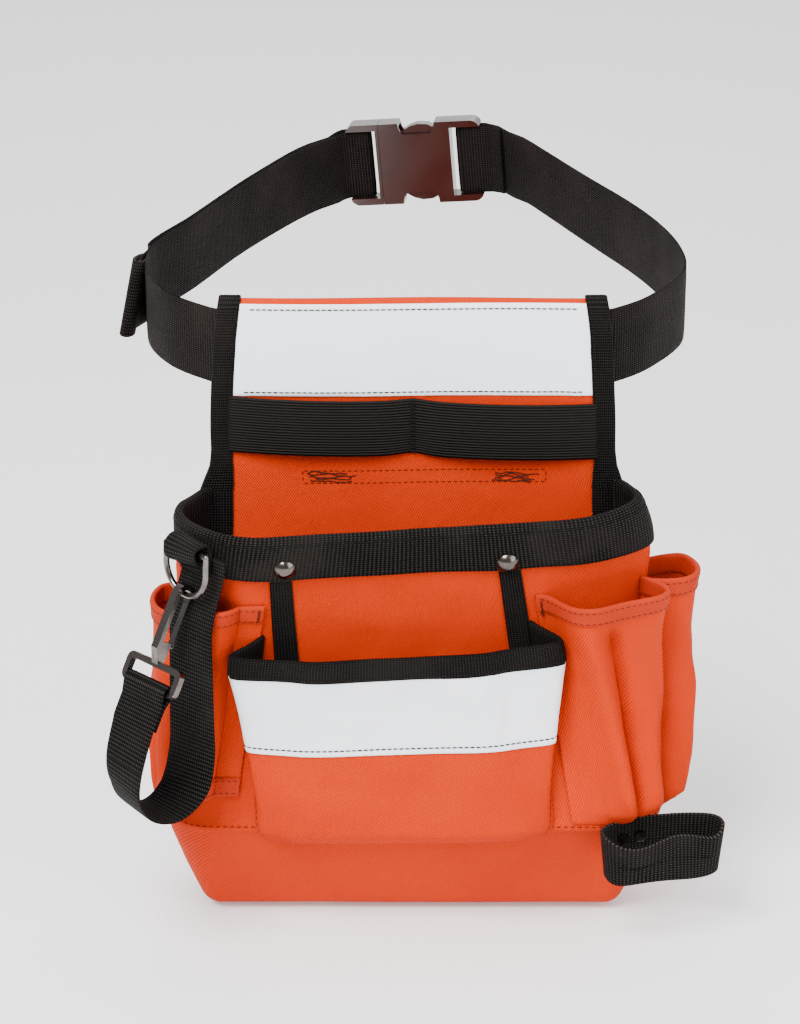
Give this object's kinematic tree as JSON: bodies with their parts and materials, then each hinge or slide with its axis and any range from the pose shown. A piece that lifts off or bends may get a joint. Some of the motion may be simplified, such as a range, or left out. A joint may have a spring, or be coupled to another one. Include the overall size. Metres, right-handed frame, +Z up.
{
  "type": "electrician tool pouch",
  "caption": "Open tool pouch on a buckled waist belt, with front and side pockets, tool elastic, hammer loop and a clip-on strap.",
  "frame": {"origin": "centre of the belt tunnel's rear face, level with the belt's centre line", "axes": "+Z up, +Y towards the wearer, normal to the tunnel's rear face, +X to the wearer's left (the viewer's right from the front)"},
  "size_m": [0.3196, 0.4498, 0.333],
  "materials": {
    "back_panel": "orange coated polyester, diagonal weave, satin",
    "belt_tunnel": "orange coated polyester, diagonal weave, satin",
    "panel_binding_left": "black woven webbing, matt",
    "panel_binding_right": "black woven webbing, matt",
    "upper_reflective_strip": "silver-white retroreflective tape, matt",
    "elastic_band": "black woven webbing, matt",
    "front_body": "orange coated polyester, diagonal weave, satin",
    "base_panel": "orange coated polyester, diagonal weave, satin",
    "mouth_band": "black woven webbing, matt",
    "front_pocket": "orange coated polyester, diagonal weave, satin",
    "pocket_reflective_strip": "silver-white retroreflective tape, matt",
    "pocket_binding": "black woven webbing, matt",
    "right_front_pocket": "orange coated polyester, diagonal weave, satin",
    "right_front_hem": "orange ribbon hem, dull, dark stitching",
    "right_rear_pocket": "orange coated polyester, diagonal weave, satin",
    "right_rear_hem": "orange ribbon hem, dull, dark stitching",
    "left_rear_pocket": "orange coated polyester, diagonal weave, satin",
    "left_rear_hem": "orange ribbon hem, dull, dark stitching",
    "tool_tunnel": "orange coated polyester, diagonal weave, satin",
    "tunnel_upper_hem": "orange ribbon hem, dull, dark stitching",
    "tunnel_lower_hem": "orange ribbon hem, dull, dark stitching",
    "support_strap_left": "black woven webbing, matt",
    "support_strap_right": "black woven webbing, matt",
    "band_rivet_caps": "dark nickel plate, polished",
    "band_rivet_posts": "dark nickel plate, polished",
    "band_rivet_washers": "dark nickel plate, polished",
    "hammer_loop": "black woven webbing, matt",
    "hammer_loop_rivets": "dark nickel plate, polished",
    "ring_tab": "black woven webbing, matt",
    "d_ring": "dark nickel plate, polished",
    "snap_hook": "dark nickel plate, polished",
    "hook_gate": "dark nickel plate, polished",
    "hanging_strap": "black woven webbing, matt",
    "belt_webbing": "black woven webbing, matt",
    "buckle_socket": "dark maroon-brown moulded plastic, glossy",
    "buckle_plug": "dark maroon-brown moulded plastic, glossy",
    "prong_upper": "dark maroon-brown moulded plastic, glossy",
    "prong_lower": "dark maroon-brown moulded plastic, glossy"
  },
  "bodies": {
    "pouch": {"back_panel": "back_panel", "belt_tunnel": "belt_tunnel", "panel_binding_left": "panel_binding_left", "panel_binding_right": "panel_binding_right", "upper_reflective_strip": "upper_reflective_strip", "elastic_band": "elastic_band", "front_body": "front_body", "base_panel": "base_panel", "mouth_band": "mouth_band", "front_pocket": "front_pocket", "pocket_reflective_strip": "pocket_reflective_strip", "pocket_binding": "pocket_binding", "right_front_pocket": "right_front_pocket", "right_front_hem": "right_front_hem", "right_rear_pocket": "right_rear_pocket", "right_rear_hem": "right_rear_hem", "left_rear_pocket": "left_rear_pocket", "left_rear_hem": "left_rear_hem", "tool_tunnel": "tool_tunnel", "tunnel_upper_hem": "tunnel_upper_hem", "tunnel_lower_hem": "tunnel_lower_hem", "support_strap_left": "support_strap_left", "support_strap_right": "support_strap_right", "band_rivet_caps": "band_rivet_caps", "band_rivet_posts": "band_rivet_posts", "band_rivet_washers": "band_rivet_washers", "hammer_loop": "hammer_loop", "hammer_loop_rivets": "hammer_loop_rivets", "ring_tab": "ring_tab", "hanging_strap": "hanging_strap"},
    "belt": {"belt_webbing": "belt_webbing", "buckle_socket": "buckle_socket", "buckle_plug": "buckle_plug"},
    "prong_upper": {"prong_upper": "prong_upper"},
    "prong_lower": {"prong_lower": "prong_lower"},
    "ring": {"d_ring": "d_ring"},
    "hook": {"snap_hook": "snap_hook"},
    "gate": {"hook_gate": "hook_gate"}
  },
  "joints": [
    {"name": "belt_slide", "type": "slide", "parent": "pouch", "child": "belt", "axis": [1, 0, 0], "range_m": [-0.012, 0.012]},
    {"name": "prong_upper_squeeze", "type": "hinge", "parent": "belt", "child": "prong_upper", "pos_m": [-0.0135, 0.31532, 0.0176], "axis": [0.1392, 0.9903, 0], "range_deg": [0, 7], "stiffness_Nm_per_rad": 0.5},
    {"name": "prong_lower_squeeze", "type": "hinge", "parent": "belt", "child": "prong_lower", "pos_m": [-0.01108, 0.31498, -0.0103], "axis": [-0.1392, -0.9903, 0], "range_deg": [0, 7], "stiffness_Nm_per_rad": 0.5},
    {"name": "ring_swing", "type": "hinge", "parent": "pouch", "child": "ring", "pos_m": [-0.114, -0.0725, -0.083], "axis": [0.7071, -0.7071, 0], "range_deg": [-60, 2], "deforming": ["hanging_strap"]},
    {"name": "hook_swing", "type": "hinge", "parent": "ring", "child": "hook", "pos_m": [-0.11602, -0.07169, -0.10749], "axis": [0.7071, -0.7071, 0], "range_deg": [-20, 6], "deforming": ["hanging_strap"]},
    {"name": "gate_open", "type": "hinge", "parent": "hook", "child": "gate", "pos_m": [-0.1225, -0.07817, -0.13337], "axis": [0.7071, -0.7071, 0], "range_deg": [0, 12], "stiffness_Nm_per_rad": 0.02}
  ],
  "couplings": [
    {"joint": "prong_lower_squeeze", "follows": "prong_upper_squeeze", "ratio": 1}
  ]
}
